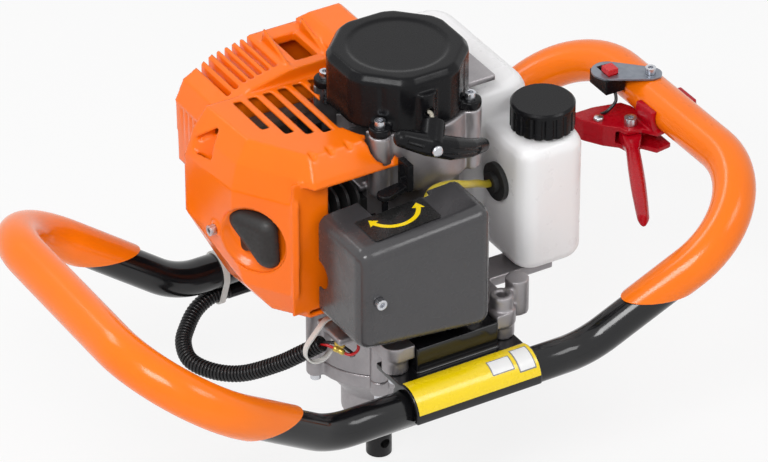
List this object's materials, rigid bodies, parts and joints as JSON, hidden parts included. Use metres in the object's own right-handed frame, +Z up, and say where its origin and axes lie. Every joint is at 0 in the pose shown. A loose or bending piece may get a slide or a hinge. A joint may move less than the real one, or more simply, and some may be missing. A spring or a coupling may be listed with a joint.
{
  "type": "earth auger power head",
  "caption": "Two-hand earth auger power head: bent tube frame with dipped grips, vertical-crank two-stroke engine, reduction gearbox, fuel tank, recoil starter and throttle lever.",
  "frame": {"origin": "centre of the output shaft's lower end, where the auger's socket is pushed on", "axes": "+Z up along the output shaft, +X along the rails to the throttle hand, -Y to the air filter and the starter handle"},
  "size_m": [0.5556, 0.3006, 0.359],
  "materials": {
    "black_paint": "gloss black powder coat",
    "orange_vinyl": "smooth dipped vinyl",
    "orange_plastic": "satin moulded plastic",
    "cast_aluminium": "as cast, lightly blasted",
    "black_plastic": "fine texture",
    "grey_plastic": "satin",
    "white_plastic": "translucent blow moulding",
    "red_paint": "gloss red",
    "red_plastic": "gloss",
    "black_rubber": "matt",
    "zinc_steel": "bright zinc",
    "steel": "machined",
    "black_steel": "black oxide",
    "cylinder_black": "black heat paint",
    "foam": "open cell foam",
    "fuel_line": "clear yellow",
    "rope": "braided",
    "brass": "plain"
  },
  "bodies": {
    "frame": {"left_hoop": "black_paint", "right_hoop": "black_paint", "left_grip": "orange_vinyl", "right_grip": "orange_vinyl", "front_bracket": "black_paint", "rear_bracket": "black_paint", "bracket_screws": "zinc_steel", "gearbox_housing": "cast_aluminium", "gearbox_cover": "cast_aluminium", "gearbox_bearings": "steel", "output_seal": "black_rubber", "clutch_housing": "cast_aluminium", "case_screws": "zinc_steel", "crankcase_lower": "cast_aluminium", "crankcase_upper": "cast_aluminium", "connecting_rod": "steel", "piston": "cast_aluminium", "cylinder_barrel": "cylinder_black", "spark_plug": "zinc_steel", "plug_boot": "black_rubber", "ignition_coil": "black_steel", "fan_housing": "cast_aluminium", "starter_cover": "black_plastic", "cylinder_shroud": "orange_plastic", "small_screws": "zinc_steel", "muffler": "steel", "intake_insulator": "black_plastic", "carburettor": "cast_aluminium", "air_filter_element": "foam", "air_filter_cover": "grey_plastic", "air_filter_screw": "zinc_steel", "fuel_tank": "white_plastic", "tank_grommet": "black_rubber", "fuel_hose": "fuel_line", "throttle_bracket": "red_paint", "switch_plate": "zinc_steel", "switch_body": "black_plastic", "throttle_sleeve": "black_plastic", "control_conduit": "black_plastic", "cable_ties": "white_plastic", "starter_rope": "rope"},
    "rotor": {"crankshaft": "steel", "flywheel": "cast_aluminium", "clutch_hub": "steel"},
    "shoe_a": {"clutch_shoe_a": "steel"},
    "shoe_b": {"clutch_shoe_b": "steel"},
    "drum": {"clutch_drum": "steel"},
    "idler": {"idler_gear": "steel"},
    "output": {"output_gear": "steel", "output_shaft": "black_steel"},
    "pulley": {"starter_pulley": "black_plastic"},
    "handle": {"pull_handle": "black_plastic"},
    "cap_ring": {"cap_seal": "black_rubber"},
    "cap": {"fuel_cap": "black_plastic"},
    "choke": {"choke_lever": "black_plastic"},
    "butterfly": {"throttle_arm": "brass"},
    "lever": {"throttle_lever": "red_paint"},
    "button": {"stop_button": "red_plastic"}
  },
  "joints": [
    {"name": "engine_spin", "type": "hinge", "parent": "frame", "child": "rotor", "pos_m": [0.016, 0, 0.234], "axis": [0, 0, 1], "continuous": true},
    {"name": "shoe_a_slide", "type": "slide", "parent": "rotor", "child": "shoe_a", "axis": [1, 0, 0], "range_m": [0, 0.0012], "stiffness_N_per_m": 8000},
    {"name": "shoe_b_slide", "type": "slide", "parent": "rotor", "child": "shoe_b", "axis": [-1, 0, 0], "range_m": [0, 0.0012], "stiffness_N_per_m": 8000},
    {"name": "output_spin", "type": "hinge", "parent": "frame", "child": "output", "pos_m": [0, 0, 0.06], "axis": [0, 0, 1], "continuous": true},
    {"name": "idler_spin", "type": "hinge", "parent": "frame", "child": "idler", "pos_m": [0.03584, 0.04039, 0.12], "axis": [0, 0, 1], "continuous": true},
    {"name": "drum_spin", "type": "hinge", "parent": "frame", "child": "drum", "pos_m": [0.016, 0, 0.15], "axis": [0, 0, 1], "continuous": true},
    {"name": "starter_pull", "type": "slide", "parent": "frame", "child": "handle", "axis": [0, -1, 0], "range_m": [0, 0.6], "stiffness_N_per_m": 20, "deforming": ["starter_rope"]},
    {"name": "pulley_spin", "type": "hinge", "parent": "frame", "child": "pulley", "pos_m": [0.016, 0, 0.332], "axis": [0, 0, 1], "range_deg": [0, 1419]},
    {"name": "cap_lift", "type": "slide", "parent": "frame", "child": "cap_ring", "axis": [0, 0, 1], "range_m": [0, 0.0125]},
    {"name": "cap_turn", "type": "hinge", "parent": "cap_ring", "child": "cap", "pos_m": [0.121, -0.035, 0.29], "axis": [0, 0, 1], "range_deg": [0, 900]},
    {"name": "choke_turn", "type": "hinge", "parent": "frame", "child": "choke", "pos_m": [-0.033, -0.065, 0.27], "axis": [0, 0, -1], "range_deg": [0, 70]},
    {"name": "throttle_squeeze", "type": "hinge", "parent": "frame", "child": "lever", "pos_m": [0.232, 0.013, 0.205], "axis": [0, 0, 1], "range_deg": [0, 21], "stiffness_Nm_per_rad": 1.2},
    {"name": "butterfly_turn", "type": "hinge", "parent": "frame", "child": "butterfly", "pos_m": [-0.06, -0.072, 0.21], "axis": [0, 0, 1], "range_deg": [0, 63]},
    {"name": "stop_slide", "type": "slide", "parent": "frame", "child": "button", "axis": [0, 1, 0], "range_m": [0, 0.006]}
  ],
  "couplings": [
    {"joint": "shoe_b_slide", "follows": "shoe_a_slide", "ratio": 1},
    {"joint": "idler_spin", "follows": "output_spin", "ratio": -5},
    {"joint": "drum_spin", "follows": "output_spin", "ratio": 25},
    {"joint": "pulley_spin", "follows": "starter_pull", "rad_per_m": 41.152},
    {"joint": "cap_lift", "follows": "cap_turn", "m_per_rad": 0.00076394},
    {"joint": "butterfly_turn", "follows": "throttle_squeeze", "ratio": 3}
  ]
}
